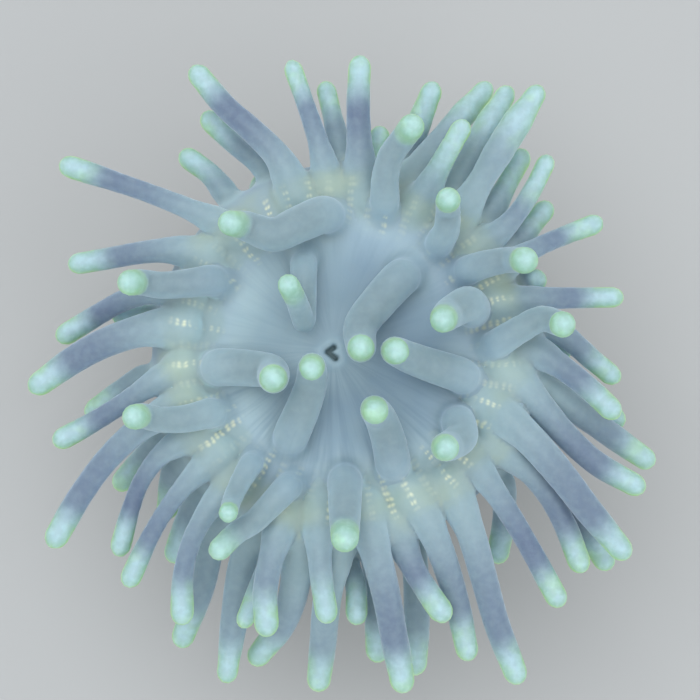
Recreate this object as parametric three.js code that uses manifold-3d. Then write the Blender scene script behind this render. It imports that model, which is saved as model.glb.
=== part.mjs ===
// A pale host sea anemone, spread open: a flat foot, a waisted column, an oral disc with a slit
// mouth, and four circles of tapering tentacles, each with a rounded tip.
// Millimetres, +Z up. The origin is the middle of the foot's underside, which is flat.
import * as THREE from 'three';
import { mergeVertices } from 'three/addons/utils/BufferGeometryUtils.js';
import Module from 'manifold-3d';

const wasm = await Module();
wasm.setup();

// Driving dimensions.
const GAP = 0.3;
const FOOT_RADIUS = 21;
const FOOT_HEIGHT = 4;
const FOOT_TOP_INSET = 1.5;
const FOOT_SCALLOPS = 8;
const FOOT_SCALLOP_DEPTH = 0.5;
const WAIST_RADIUS = 14.5;
const WAIST_HEIGHT = 18;
const COLUMN_BASE_INSET = 2;
const COLUMN_BASE_POWER = 2;
const NECK_RADIUS = 26.5;
const NECK_HEIGHT = 38;
const NECK_POWER = 1.8;
const COLUMN_RINGS = 8;
const DISC_RADIUS = 31.5;
const RIM_HEIGHT = 43.5;
const DISC_HEIGHT = 50.5;
const DISC_SWELL = 0.2;
const BODY_SIDES = 32;
const MOUTH_CENTRE = new THREE.Vector2(-2, 0);
const MOUTH_LENGTH = 3.6;
const MOUTH_WIDTH = 1.2;
const MOUTH_TURN = 130;
const LIP_RADIUS = 0.8;
const LIP_SIDES = 5;
const LIP_STEPS = 16;
const THROAT_DEPTH = 5;
const THROAT_SIDES = 14;
const THROAT_RINGS = 8;
const TIP_RADIUS = 2;
const TIP_DOME = 1.12;
const SHAFT_RADIUS = 1.8;
const SHAFT_PART = 0.6;
const TUBE_SIDES = 8;
const LINE_STEPS = 12;
const ROOT_DEPTH = 2.5;
const ROOT_RISE = 2.5;
const HANDLE_PART = 0.36;
const LEAVING_BEND = 0.65;
const EVEN_BEND = 0.2;
const CURL_LENGTH = 5.5;

// The raised tips lean a little to the front.
const TIP_LEAN = new THREE.Vector3(0, -0.11, 0);

// Colours of the living tissue.
const COLUMN_COLOUR = 0xd8d2bf;
const FOOT_COLOUR = 0xcdc3ac;
const DISC_COLOUR = 0x8fa6b3;
const LIP_COLOUR = 0xb4c3cb;
const TENTACLE_COLOUR = 0x8489a6;
const FLESH_ROUGHNESS = 0.35;

// Each circle of tentacles: how far its roots lie from the mouth, measured along the skin of the
// disc and round its margin; the radius of a root; the number of rings between root and tip; and
// how its tips point above the horizontal, in degrees. The joined circle is part of the disc.
const CIRCLES = {
  disc: { rootRadius: 2.5, rings: 4 },
  upper: { rootAlong: 27, rootRadius: 2.4, rings: 3, tipLift: 8 },
  lower: { rootAlong: 32, rootRadius: 2.2, rings: 3, tipLift: -4 },
  under: { rootAlong: 37, rootRadius: 2, rings: 2, tipLift: -14, joined: true },
};

// Tentacles that stand on the open disc and curl up: the angle and reach of the root; the angle,
// reach and height of the knee where it turns; those of the middle of the tip; how steeply the tip
// points up, in degrees; and the girths of the tip and of the shaft.
const DISC_TENTACLES = [
  [114, 16, 150, 7.5, 56, 135, 12.3, 63, 50, 0.87, 1],
  [188, 21, 200, 12, 57, 209, 12.3, 65, 90, 1.03, 1.5],
  [241, 19, 230, 9, 57, 219, 7, 65, 90, 0.92, 1.4],
  [51, 16, 44, 4, 57, 338.5, 3.45, 65, 88, 1, 1.5],
  [349, 21, 348, 11, 57, 346.5, 7.4, 65, 88, 1, 1.4],
  [293, 22, 296, 14, 57, 293, 12, 65, 90, 1, 1.4],
  [8, 23, 19, 20, 57, 12, 15.5, 64, 78, 1, 1.45],
  [326, 23, 320, 23.5, 57, 313, 22.8, 65, 90, 1, 1.35],
  [96, 22, 124, 20.3, 56, 134.4, 25.2, 61, 60, 1, 1.5],
  [270, 20.5, 270, 26, 57, 270, 30.3, 61, 62, 1.1, 1.4],
  [231, 23.5, 234, 29.5, 55, 236.5, 32.3, 61, 84, 0.75, 0.85],
  [247, 23, 241, 32, 54, 238, 37, 56.5, 25, 0.9, 1.05],
  [48, 23.5, 50, 25.5, 57, 54, 27.4, 63, 84, 0.97, 1.1],
  [33, 24, 29, 28, 56, 24.5, 30.8, 62, 78, 1.05, 1.15],
  [4, 24, 8, 32, 56, 4.7, 34, 61.5, 84, 1.03, 1.15],
  [206, 23.5, 203, 30, 55, 199.5, 34.6, 60, 72, 1, 1.15],
  [151, 24, 161, 30, 54, 164, 35, 58.5, 66, 1.03, 1.2],
  [76, 24, 77, 30, 56, 73, 35.7, 60.5, 55, 1.03, 1.15],
];

// Tentacles of the margin: the angle of the root; the angle, reach and height of the middle of the
// tip; the girths of the tip and of the shaft; and how many millimetres the shaft sways towards
// growing angles near the root and near the tip.
const UPPER_TENTACLES = [
  [17, 11.3, 43.7, 48, 0.9, 0.95, 0, 0],
  [29, 27.4, 44.9, 47, 0.9, 0.85, 1.2, 0.8],
  [36, 42.9, 44, 50, 0.85, 0.8, -2, -1.2],
  [49, 53, 50, 55, 1.05, 1.1, 0, 0.6],
  [63, 62, 39, 56, 0.9, 1, 0, 0],
  [84, 87, 45, 54, 0.98, 1.07, 0.3, 0.8],
  [96, 100.4, 45.8, 52, 0.82, 0.85, -0.5, 0],
  [106, 117.8, 50.3, 50, 0.98, 1.1, -3, 1.7],
  [133, 145.8, 53.6, 47, 1, 0.88, 0, 0],
  [147, 161.2, 45.3, 46, 0.95, 1, -1, 0.2],
  [159, 175.6, 45.3, 43, 0.97, 0.97, -2.4, -1],
  [171, 185.8, 49.1, 47, 1.07, 1.3, -2, -1.8],
  [188, 197.2, 47.1, 46, 0.97, 0.9, 1, 1],
  [199, 212.6, 54.6, 47, 1.05, 1.08, -3, -2.2],
  [208, 220.5, 47.5, 43, 0.92, 0.8, -4.2, -2.2],
  [220, 226.3, 49.6, 45, 0.93, 0.8, -1.8, -1.6],
  [229, 238, 49, 47, 1.02, 0.88, -3, -3.2],
  [250, 254, 45, 51, 1.07, 1.1, 0, -1.8],
  [261, 266, 41.5, 51, 0.97, 1.03, -0.5, -0.3],
  [284, 280.6, 52.9, 44, 1.1, 1.25, 2.4, 0.7],
  [290.5, 290, 43.8, 50, 1.07, 1.05, -0.8, -0.4],
  [299, 292.5, 51.2, 44, 1, 1.15, 1.3, 1.3],
  [306, 297.7, 57.8, 44, 1.04, 1.18, 0.2, -1.8],
  [316, 310.8, 51.5, 46, 0.97, 0.95, 0.7, 0.4],
  [328, 318.9, 50.3, 46, 1, 1.03, 2.6, 2.2],
  [338, 323.5, 53.5, 47, 1.05, 1.3, 0.5, -0.9],
  [348, 334.8, 50.6, 48, 1, 1.12, -2, -4],
  [1, 347.4, 43, 52, 1, 1.05, 0, 0],
];
const LOWER_TENTACLES = [
  [10, 355.6, 43, 44, 0.92, 1, 0, -0.8],
  [32, 35.8, 39.8, 44, 0.95, 1, 0, 0],
  [44, 48, 42.5, 45, 0.97, 0.95, 0, 0],
  [56, 58, 48.5, 49, 1.03, 1.08, 0, 0],
  [69, 63, 48.5, 44, 1.02, 1, 0, 0],
  [91, 94, 43, 45, 0.88, 0.92, 0, 0],
  [256, 254, 50.4, 34, 1.06, 1.3, 1.2, 3],
  [268, 266.2, 52.4, 35, 1.08, 1.25, 0, 0],
  [331, 322, 53.5, 38, 1, 1, 0, 0],
  [350, 341, 51.2, 42, 1, 1.18, 0, -0.4],
];
const UNDER_TENTACLES = [
  [2, 1, 35, 42, 0.9, 0.9, 0, 0],
  [21, 21, 33, 46, 0.9, 0.9, 0, 0],
  [73, 70.4, 44.2, 48, 0.96, 1.15, -0.6, -0.4],
  [81, 81, 36, 44, 0.9, 0.9, 0, 0],
  [115, 120, 44, 42, 1, 0.9, 1.5, 1.5],
  [119, 112, 33, 40, 0.9, 0.9, 0, 0],
  [122, 128, 41, 42, 1, 1, -1.5, -1],
  [167, 169.5, 37, 40, 0.9, 0.9, 0, 0],
  [184, 191.9, 41.6, 39, 1, 1, 0, 0],
  [204, 209, 41.5, 36, 1, 1, 0, 0],
  [212, 220, 38, 36, 1, 1.3, -1, 0],
  [222, 229, 42, 38, 1, 1, 0, 0],
  [232, 240, 52.5, 35, 1.03, 1.25, 0, 2],
  [242, 249.7, 54.7, 37, 0.93, 1.3, 0.4, 0.4],
  [248, 249.6, 45.5, 44, 0.8, 0.9, 0, 0],
  [269, 267.8, 41, 45, 0.95, 0.95, 0, 0],
  [278, 276, 48, 36, 1.05, 1.1, 0, 0],
  [291, 283, 51, 34, 1.1, 1.2, 0, 0],
  [326, 308.5, 40.5, 36, 1, 1.05, 0, 0],
  [343, 343, 36, 40, 0.9, 0.9, 0, 0],
  [357, 347, 45, 40, 1, 1, 0, 0],
];

// The point at an angle in degrees, a reach from the axis and a height.
function polar(angle, reach, height) {
  const a = THREE.MathUtils.degToRad(angle);
  return new THREE.Vector3(reach * Math.cos(a), reach * Math.sin(a), height);
}

// The meridian of the oral disc, from its middle out over the margin to the column's neck.
const discMeridian = new THREE.SplineCurve([
  new THREE.Vector2(0, DISC_HEIGHT),
  new THREE.Vector2(0.35 * DISC_RADIUS, DISC_HEIGHT + DISC_SWELL),
  new THREE.Vector2(0.65 * DISC_RADIUS, DISC_HEIGHT - 0.5),
  new THREE.Vector2(0.86 * DISC_RADIUS, DISC_HEIGHT - 1.8),
  new THREE.Vector2(0.97 * DISC_RADIUS, DISC_HEIGHT - 4.2),
  new THREE.Vector2(DISC_RADIUS, RIM_HEIGHT),
  new THREE.Vector2(0.96 * DISC_RADIUS, RIM_HEIGHT - 3),
  new THREE.Vector2(NECK_RADIUS, NECK_HEIGHT),
]);
const MERIDIAN_STEPS = 8;
const REACH_STEP = 0.05;

// The disc's skin at a length along its meridian and an angle: the point and the outward normal.
function discSkin(along, angle) {
  const part = Math.min(along / discMeridian.getLength(), 1);
  const point = discMeridian.getPointAt(part);
  const slope = discMeridian.getTangentAt(part);
  return {
    point: polar(angle, point.x, point.y),
    normal: polar(angle, -slope.y, slope.x).normalize(),
  };
}

// The length along the meridian at which the disc has a reach from the axis.
function alongAtReach(reach) {
  let along = reach;
  while (discSkin(along, 0).point.x < reach) {
    along += REACH_STEP;
  }
  return along;
}

// A closed solid turned about the axis from (radius, height) points that start and end on it.
function turned(points, sides) {
  return new THREE.LatheGeometry(points, sides).rotateX(Math.PI / 2);
}

// A tube round a centre line: a flat end square to the root's own heading, one ring at each
// station, one ring half way round the tip, and one vertex at the tip's pole.
function tube(stations, radii, rootHeading) {
  const tip = stations[stations.length - 1];
  const tipRadius = radii[radii.length - 1];
  const headings = stations.map((point, i) => {
    const before = stations[Math.max(i - 1, 0)];
    const after = stations[Math.min(i + 1, stations.length - 1)];
    return after.clone().sub(before).normalize();
  });
  headings[0].copy(rootHeading);
  const tipHeading = headings[headings.length - 1];
  const rings = stations.map((point, i) => ({ point, radius: radii[i], heading: headings[i] }));
  rings.push({
    point: tip.clone().addScaledVector(tipHeading, TIP_DOME * tipRadius * Math.SQRT1_2),
    radius: tipRadius * Math.SQRT1_2,
    heading: tipHeading,
  });
  const vertices = [rings[0].point];
  let across = new THREE.Vector3(0, 0, 1).cross(headings[0]).normalize();
  for (const ring of rings) {
    across = across.addScaledVector(ring.heading, -across.dot(ring.heading)).normalize();
    const up = ring.heading.clone().cross(across);
    for (let k = 0; k < TUBE_SIDES; k++) {
      const a = (2 * Math.PI * k) / TUBE_SIDES;
      const spoke = across.clone().multiplyScalar(Math.cos(a)).addScaledVector(up, Math.sin(a));
      vertices.push(ring.point.clone().addScaledVector(spoke, ring.radius));
    }
  }
  vertices.push(tip.clone().addScaledVector(tipHeading, TIP_DOME * tipRadius));
  const pole = vertices.length - 1;
  const faces = [];
  for (let k = 0; k < TUBE_SIDES; k++) {
    const next = (k + 1) % TUBE_SIDES;
    faces.push(0, 1 + next, 1 + k);
    for (let ring = 0; ring < rings.length - 1; ring++) {
      const here = 1 + ring * TUBE_SIDES;
      const above = here + TUBE_SIDES;
      faces.push(here + k, here + next, above + next);
      faces.push(here + k, above + next, above + k);
    }
    const last = 1 + (rings.length - 1) * TUBE_SIDES;
    faces.push(last + k, last + next, pole);
  }
  const geometry = new THREE.BufferGeometry().setFromPoints(vertices);
  geometry.setIndex(faces);
  return geometry;
}

// A geometry as a manifold solid, and a manifold solid as a geometry.
function solid(geometry) {
  const plain = geometry.clone();
  plain.deleteAttribute('normal');
  plain.deleteAttribute('uv');
  const merged = mergeVertices(plain, 1e-4);
  return new wasm.Manifold(new wasm.Mesh({
    numProp: 3,
    vertProperties: new Float32Array(merged.attributes.position.array),
    triVerts: new Uint32Array(merged.index.array),
  }));
}

function geometryOf(manifold) {
  const mesh = manifold.getMesh();
  const geometry = new THREE.BufferGeometry();
  geometry.setAttribute('position', new THREE.BufferAttribute(mesh.vertProperties, 3));
  geometry.setIndex(new THREE.BufferAttribute(mesh.triVerts, 1));
  geometry.computeVertexNormals();
  return geometry;
}

// The foot: a flat-bottomed disc with a scalloped edge that rounds over to the column.
function footGeometry() {
  const geometry = turned([
    new THREE.Vector2(0, 0),
    new THREE.Vector2(FOOT_RADIUS - 0.4 * FOOT_TOP_INSET, 0),
    new THREE.Vector2(FOOT_RADIUS, 0.25 * FOOT_HEIGHT),
    new THREE.Vector2(FOOT_RADIUS - 0.25 * FOOT_TOP_INSET, 0.65 * FOOT_HEIGHT),
    new THREE.Vector2(FOOT_RADIUS - FOOT_TOP_INSET, FOOT_HEIGHT),
    new THREE.Vector2(0, FOOT_HEIGHT),
  ], BODY_SIDES);
  const place = geometry.attributes.position;
  for (let i = 0; i < place.count; i++) {
    const x = place.getX(i);
    const y = place.getY(i);
    const wave = Math.cos(FOOT_SCALLOPS * Math.atan2(y, x));
    const grow = 1 + (FOOT_SCALLOP_DEPTH * wave * Math.hypot(x, y)) / FOOT_RADIUS ** 2;
    place.setXY(i, x * grow, y * grow);
  }
  return geometry;
}

// The column's radius at a height: it narrows from the foot to the waist and flares to the neck.
function columnRadius(height) {
  if (height < WAIST_HEIGHT) {
    const down = (WAIST_HEIGHT - height) / (WAIST_HEIGHT - FOOT_HEIGHT);
    const widest = FOOT_RADIUS - COLUMN_BASE_INSET;
    return WAIST_RADIUS + (widest - WAIST_RADIUS) * down ** COLUMN_BASE_POWER;
  }
  const up = (height - WAIST_HEIGHT) / (NECK_HEIGHT - WAIST_HEIGHT);
  return WAIST_RADIUS + (NECK_RADIUS - WAIST_RADIUS) * up ** NECK_POWER;
}

function columnGeometry() {
  const base = FOOT_HEIGHT + GAP;
  const top = NECK_HEIGHT - GAP;
  const points = [new THREE.Vector2(0, base)];
  for (let i = 0; i <= COLUMN_RINGS; i++) {
    const height = base + ((top - base) * i) / COLUMN_RINGS;
    points.push(new THREE.Vector2(columnRadius(height), height));
  }
  points.push(new THREE.Vector2(0, top));
  return turned(points, BODY_SIDES);
}

// The disc as a solid, before its throat is cut and the under circle is joined to it.
function discSolid() {
  const points = [new THREE.Vector2(0, NECK_HEIGHT)];
  for (let i = MERIDIAN_STEPS; i >= 1; i--) {
    points.push(discMeridian.getPointAt(i / MERIDIAN_STEPS));
  }
  points.push(new THREE.Vector2(0, DISC_HEIGHT));
  return solid(turned(points, BODY_SIDES));
}

// A geometry turned along the mouth and moved there, a little above or below the disc.
function placeAtMouth(geometry, rise) {
  const height = DISC_HEIGHT + DISC_SWELL / 2 + rise;
  geometry.rotateZ(THREE.MathUtils.degToRad(MOUTH_TURN));
  return geometry.translate(MOUTH_CENTRE.x, MOUTH_CENTRE.y, height);
}

// The lips: a ring swept round a long slit, standing a gap above the disc.
function lipGeometry() {
  const middleWidth = MOUTH_WIDTH / 2 + LIP_RADIUS;
  const ring = new THREE.TorusGeometry(middleWidth, LIP_RADIUS, LIP_SIDES, LIP_STEPS);
  const place = ring.attributes.position;
  const stretch = (MOUTH_LENGTH - MOUTH_WIDTH) / 2;
  for (let i = 0; i < place.count; i++) {
    const x = place.getX(i);
    place.setX(i, x + (stretch * x) / Math.hypot(x, place.getY(i)));
  }
  return placeAtMouth(ring, GAP + LIP_RADIUS);
}

// The throat: a narrow well below the lips.
function throatGeometry() {
  const well = new THREE.SphereGeometry(1, THROAT_SIDES, THROAT_RINGS);
  well.scale(MOUTH_LENGTH / 2, MOUTH_WIDTH / 2, THROAT_DEPTH);
  return placeAtMouth(well, 0);
}

// A direction at an angle round the axis and a lift above the horizontal, both in degrees.
function direction(angle, lift) {
  const up = THREE.MathUtils.degToRad(lift);
  return polar(angle, Math.cos(up), Math.sin(up));
}

// Every tentacle with its circle, the place of its root, its tip, its girths and its bends.
function readTentacles() {
  const all = [];
  for (const [angle, reach, ...row] of DISC_TENTACLES) {
    const along = alongAtReach(reach);
    const knee = polar(...row.slice(0, 3));
    const tip = polar(...row.slice(3, 6));
    const [lift, tipGirth, shaftGirth] = row.slice(6);
    all.push({ circle: 'disc', angle, along, knee, tip, lift, tipGirth, shaftGirth });
  }
  const margin = { upper: UPPER_TENTACLES, lower: LOWER_TENTACLES, under: UNDER_TENTACLES };
  for (const [circle, rows] of Object.entries(margin)) {
    const along = CIRCLES[circle].rootAlong;
    for (const [angle, ...row] of rows) {
      const tip = polar(...row.slice(0, 3));
      const [tipGirth, shaftGirth, nearSway, farSway] = row.slice(3);
      all.push({ circle, angle, along, tip, tipGirth, shaftGirth, nearSway, farSway });
    }
  }
  return all;
}

// The turn from one heading to another, in degrees from -180 to 180.
function turnBetween(from, to) {
  return ((((to - from) % 360) + 540) % 360) - 180;
}

// A vector's own heading round the axis, in degrees.
function headingOf(vector) {
  return THREE.MathUtils.radToDeg(Math.atan2(vector.y, vector.x));
}

// Roots that would stand in each other are moved apart over the skin of the disc.
const ROOT_ROUNDS = 200;
const ROOT_SPACE = 0.7;
const ROOT_STEP = 0.3;

function spreadRoots(tentacles) {
  for (let round = 0; round < ROOT_ROUNDS; round++) {
    for (let i = 0; i < tentacles.length; i++) {
      for (let j = i + 1; j < tentacles.length; j++) {
        const a = tentacles[i];
        const b = tentacles[j];
        const pointA = discSkin(a.along, a.angle).point;
        const pointB = discSkin(b.along, b.angle).point;
        const short = rootRadius(a) + rootRadius(b) + ROOT_SPACE - pointA.distanceTo(pointB);
        if (short > 0) {
          const reach = Math.hypot(pointA.x, pointA.y);
          const turn = THREE.MathUtils.degToRad(turnBetween(b.angle, a.angle)) * reach;
          const outward = a.along - b.along;
          const step = (ROOT_STEP * short) / (Math.hypot(turn, outward) || 1);
          a.angle += THREE.MathUtils.radToDeg((turn * step) / reach);
          b.angle -= THREE.MathUtils.radToDeg((turn * step) / reach);
          a.along += outward * step;
          b.along -= outward * step;
        }
      }
    }
  }
}

// A disc tentacle rises from its root, lies over at its knee and curls up to its tip.
function curledLine(tentacle, start, rise) {
  const { knee, tip, lift } = tentacle;
  const tipWay = direction(headingOf(tip.clone().sub(knee)), lift).add(TIP_LEAN).normalize();
  const curl = tip.clone().addScaledVector(tipWay, -CURL_LENGTH);
  const middle = tip.clone().lerp(curl, 0.5);
  return new THREE.CatmullRomCurve3([start, rise, knee, curl, middle, tip], false, 'centripetal');
}

// A margin tentacle leaves the disc between its normal and the way to the tip, bends evenly, and
// sways to one side or the other.
function swayingLine(tentacle, start, root, normal) {
  const chord = tentacle.tip.clone().sub(root);
  const chordHeading = headingOf(chord);
  const bend = EVEN_BEND * turnBetween(tentacle.angle, chordHeading);
  const tipWay = direction(chordHeading + bend, CIRCLES[tentacle.circle].tipLift);
  const leaving = normal.clone().lerp(chord.clone().normalize(), LEAVING_BEND).normalize();
  const side = direction(chordHeading + 90, 0);
  const handle = HANDLE_PART * chord.length();
  const near = root.clone().addScaledVector(leaving, handle);
  near.addScaledVector(side, tentacle.nearSway);
  const far = tentacle.tip.clone().addScaledVector(tipWay, -handle);
  far.addScaledVector(side, tentacle.farSway);
  return new THREE.CubicBezierCurve3(start, near, far, tentacle.tip);
}

// The centre line of a tentacle, as evenly spaced points from root to tip.
function drawLine(tentacle) {
  const { point: root, normal } = discSkin(tentacle.along, tentacle.angle);
  const joined = CIRCLES[tentacle.circle].joined;
  const start = root.clone().addScaledVector(normal, joined ? -ROOT_DEPTH : GAP);
  const rise = root.clone().addScaledVector(normal, ROOT_RISE);
  const curve = tentacle.knee
    ? curledLine(tentacle, start, rise)
    : swayingLine(tentacle, start, root, normal);
  tentacle.rootHeading = normal;
  tentacle.line = curve.getSpacedPoints(LINE_STEPS);
}

function rootRadius(tentacle) {
  return CIRCLES[tentacle.circle].rootRadius * Math.sqrt(tentacle.shaftGirth);
}

// A tentacle's radius part of the way from root to tip: a parabola that gives the root, the shaft
// and the tip each its own radius.
function radiusAt(tentacle, part) {
  const root = rootRadius(tentacle);
  const shaft = SHAFT_RADIUS * tentacle.shaftGirth;
  const tip = TIP_RADIUS * tentacle.tipGirth;
  const rest = 1 - SHAFT_PART;
  const middle = (shaft - rest ** 2 * root - SHAFT_PART ** 2 * tip) / (2 * SHAFT_PART * rest);
  return (1 - part) ** 2 * root + 2 * part * (1 - part) * middle + part ** 2 * tip;
}

// Tentacles that would touch settle over and under each other: points that are too near are
// pushed apart, mostly up and down, each shift is shared along its tentacle, and roots stay.
const SETTLE_ROUNDS = 160;
const SETTLE_SPACE = 1;
const SETTLE_LEVEL = 0.35;
const SETTLE_LIFT = 0.05;
const SETTLE_STEP = 0.3;
const SETTLE_ROOT_SHARE = 0.3;
const SETTLE_REACH = 8;
const SETTLE_FREE_POINTS = 2;

function settle(tentacles) {
  const places = [];
  for (const tentacle of tentacles) {
    tentacle.shift = tentacle.line.map(() => new THREE.Vector3());
    tentacle.line.forEach((home, i) => {
      const radius = radiusAt(tentacle, i / LINE_STEPS);
      places.push({ tentacle, i, home, radius, now: home.clone() });
    });
  }
  const near = [];
  for (const a of places) {
    for (const b of places) {
      const ordered = tentacles.indexOf(a.tentacle) < tentacles.indexOf(b.tentacle);
      const reach = a.radius + b.radius + SETTLE_REACH;
      const free = a.i + b.i > SETTLE_FREE_POINTS;
      if (ordered && free && a.home.distanceTo(b.home) < reach) {
        near.push([a, b]);
      }
    }
  }
  for (let round = 0; round < SETTLE_ROUNDS; round++) {
    for (const [a, b] of near) {
      const apart = a.now.clone().sub(b.now);
      const short = a.radius + b.radius + SETTLE_SPACE - apart.length();
      if (short > 0) {
        apart.x *= SETTLE_LEVEL;
        apart.y *= SETTLE_LEVEL;
        apart.z += SETTLE_LIFT * Math.sign(apart.z || 1);
        apart.setLength(SETTLE_STEP * short);
        a.tentacle.shift[a.i].add(apart);
        b.tentacle.shift[b.i].sub(apart);
      }
    }
    for (const tentacle of tentacles) {
      const { shift } = tentacle;
      shift[0].set(0, 0, 0);
      shift[1].multiplyScalar(SETTLE_ROOT_SHARE);
      const before = shift.map((s) => s.clone());
      for (let i = 1; i <= LINE_STEPS; i++) {
        const after = before[Math.min(i + 1, LINE_STEPS)];
        shift[i].multiplyScalar(2).add(before[i - 1]).add(after).multiplyScalar(0.25);
      }
    }
    for (const place of places) {
      place.now.copy(place.home).add(place.tentacle.shift[place.i]);
    }
  }
  for (const tentacle of tentacles) {
    tentacle.line.forEach((point, i) => point.add(tentacle.shift[i]));
  }
}

// The closed solid of one tentacle, with its stations evenly spaced along its centre line.
function tentacleGeometry(tentacle) {
  const curve = new THREE.CatmullRomCurve3(tentacle.line, false, 'centripetal');
  const count = CIRCLES[tentacle.circle].rings;
  const stations = [];
  const radii = [];
  for (let i = 0; i <= count + 1; i++) {
    const part = i / (count + 1);
    stations.push(curve.getPointAt(part));
    radii.push(radiusAt(tentacle, part));
  }
  return tube(stations, radii, tentacle.rootHeading);
}

// Assembly.
const anemone = new THREE.Group();

function addPart(name, geometry, colour) {
  const material = new THREE.MeshStandardMaterial({
    color: colour,
    roughness: FLESH_ROUGHNESS,
    metalness: 0,
  });
  const mesh = new THREE.Mesh(geometry, material);
  mesh.name = name;
  anemone.add(mesh);
}

const tentacles = readTentacles();
spreadRoots(tentacles);
tentacles.forEach(drawLine);
settle(tentacles);

addPart('foot', footGeometry(), FOOT_COLOUR);
addPart('column', columnGeometry(), COLUMN_COLOUR);
addPart('mouth', lipGeometry(), LIP_COLOUR);

// The under circle is joined to the disc it grows from; the others each meet it at a small gap.
let disc = discSolid().subtract(solid(throatGeometry()));
const numbers = {};
for (const tentacle of tentacles) {
  const geometry = tentacleGeometry(tentacle);
  if (CIRCLES[tentacle.circle].joined) {
    disc = disc.add(solid(geometry));
  } else {
    numbers[tentacle.circle] = (numbers[tentacle.circle] ?? 0) + 1;
    const number = String(numbers[tentacle.circle]).padStart(2, '0');
    const name = `tentacle_${tentacle.circle}_${number}`;
    addPart(name, geometry, TENTACLE_COLOUR);
  }
}
addPart('oral_disc', geometryOf(disc), DISC_COLOUR);

export default anemone;
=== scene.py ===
"""A pale host sea anemone, open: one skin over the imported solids, its finishes and its stage.

Run as a script. It is laid out as an add-on, so that each piece has its own operator and its sizes
and colours can be read in one place. All sizes are in metres, +Z is up.
"""

import math

import bmesh
import bpy
import numpy as np
from bpy.props import FloatProperty, FloatVectorProperty, PointerProperty
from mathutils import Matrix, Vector


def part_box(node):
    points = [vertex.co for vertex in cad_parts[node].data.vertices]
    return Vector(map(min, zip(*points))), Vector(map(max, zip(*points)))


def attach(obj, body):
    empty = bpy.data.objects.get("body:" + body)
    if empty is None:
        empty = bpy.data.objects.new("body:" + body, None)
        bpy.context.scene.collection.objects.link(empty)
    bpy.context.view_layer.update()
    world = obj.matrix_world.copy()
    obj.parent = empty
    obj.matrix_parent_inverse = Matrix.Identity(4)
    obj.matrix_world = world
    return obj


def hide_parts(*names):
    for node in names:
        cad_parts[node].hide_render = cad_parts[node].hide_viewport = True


bl_info = {
    "name": "Sea anemone",
    "version": (1, 0, 0),
    "blender": (4, 5, 0),
    "location": "View3D > Sidebar > Anemone",
    "description": "Builds the skin, the column's suckers and the stage of a host sea anemone",
    "category": "Add Mesh",
}

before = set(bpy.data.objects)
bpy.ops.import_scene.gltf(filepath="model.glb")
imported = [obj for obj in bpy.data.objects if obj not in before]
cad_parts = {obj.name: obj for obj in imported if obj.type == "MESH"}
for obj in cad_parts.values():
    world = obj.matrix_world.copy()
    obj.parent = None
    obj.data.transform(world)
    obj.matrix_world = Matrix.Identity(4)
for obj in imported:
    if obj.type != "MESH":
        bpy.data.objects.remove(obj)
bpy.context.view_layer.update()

MM = 0.001
TUBE_SIDES = 8
FOOT_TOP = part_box("foot")[1][2]
FOOT_RADIUS = (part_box("foot")[1][0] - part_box("foot")[0][0]) / 2
NECK_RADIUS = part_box("column")[1][0]
NECK_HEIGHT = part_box("column")[1][2]
MOUTH_LOW, MOUTH_HIGH = (np.array(corner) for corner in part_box("mouth"))
MOUTH_MIDDLE = (MOUTH_LOW + MOUTH_HIGH) / 2
MOUTH_RISE = 0.4 * MM
DISC_TOP = MOUTH_LOW[2] - MOUTH_RISE


class AnemoneShape(bpy.types.PropertyGroup):
    """Sizes of the skin that the solids do not give."""

    waist_radius: FloatProperty(
        name="Waist radius", description="Radius of the column where it is narrowest",
        default=14.5 * MM, unit="LENGTH")
    waist_height: FloatProperty(
        name="Waist height", description="Height of the waist above the foot's underside",
        default=18 * MM, unit="LENGTH")
    disc_radius: FloatProperty(
        name="Disc radius", description="Radius of the oral disc at its margin",
        default=31.5 * MM, unit="LENGTH")
    rim_height: FloatProperty(
        name="Rim height", description="Height of the disc's margin where it is widest",
        default=43.5 * MM, unit="LENGTH")
    skin_cell: FloatProperty(
        name="Skin cell", description="Size of the cells that the skin is drawn with",
        default=0.67 * MM, unit="LENGTH")
    skin_inset: FloatProperty(
        name="Skin inset", description="How far surfaces are drawn in while they are fused",
        default=0.5 * MM, unit="LENGTH")
    root_flare: FloatProperty(
        name="Root flare", description="How much a tentacle widens where it leaves the disc",
        default=0.38, subtype="FACTOR")
    lip_height: FloatProperty(
        name="Lip height", description="Height of the lips above the disc",
        default=0.28 * MM, unit="LENGTH")
    slit_depth: FloatProperty(
        name="Slit depth", description="Depth of the mouth slit below the lips",
        default=0.8 * MM, unit="LENGTH")
    sucker_height: FloatProperty(
        name="Sucker height", description="How far the column's suckers stand out",
        default=0.5 * MM, unit="LENGTH")


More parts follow.
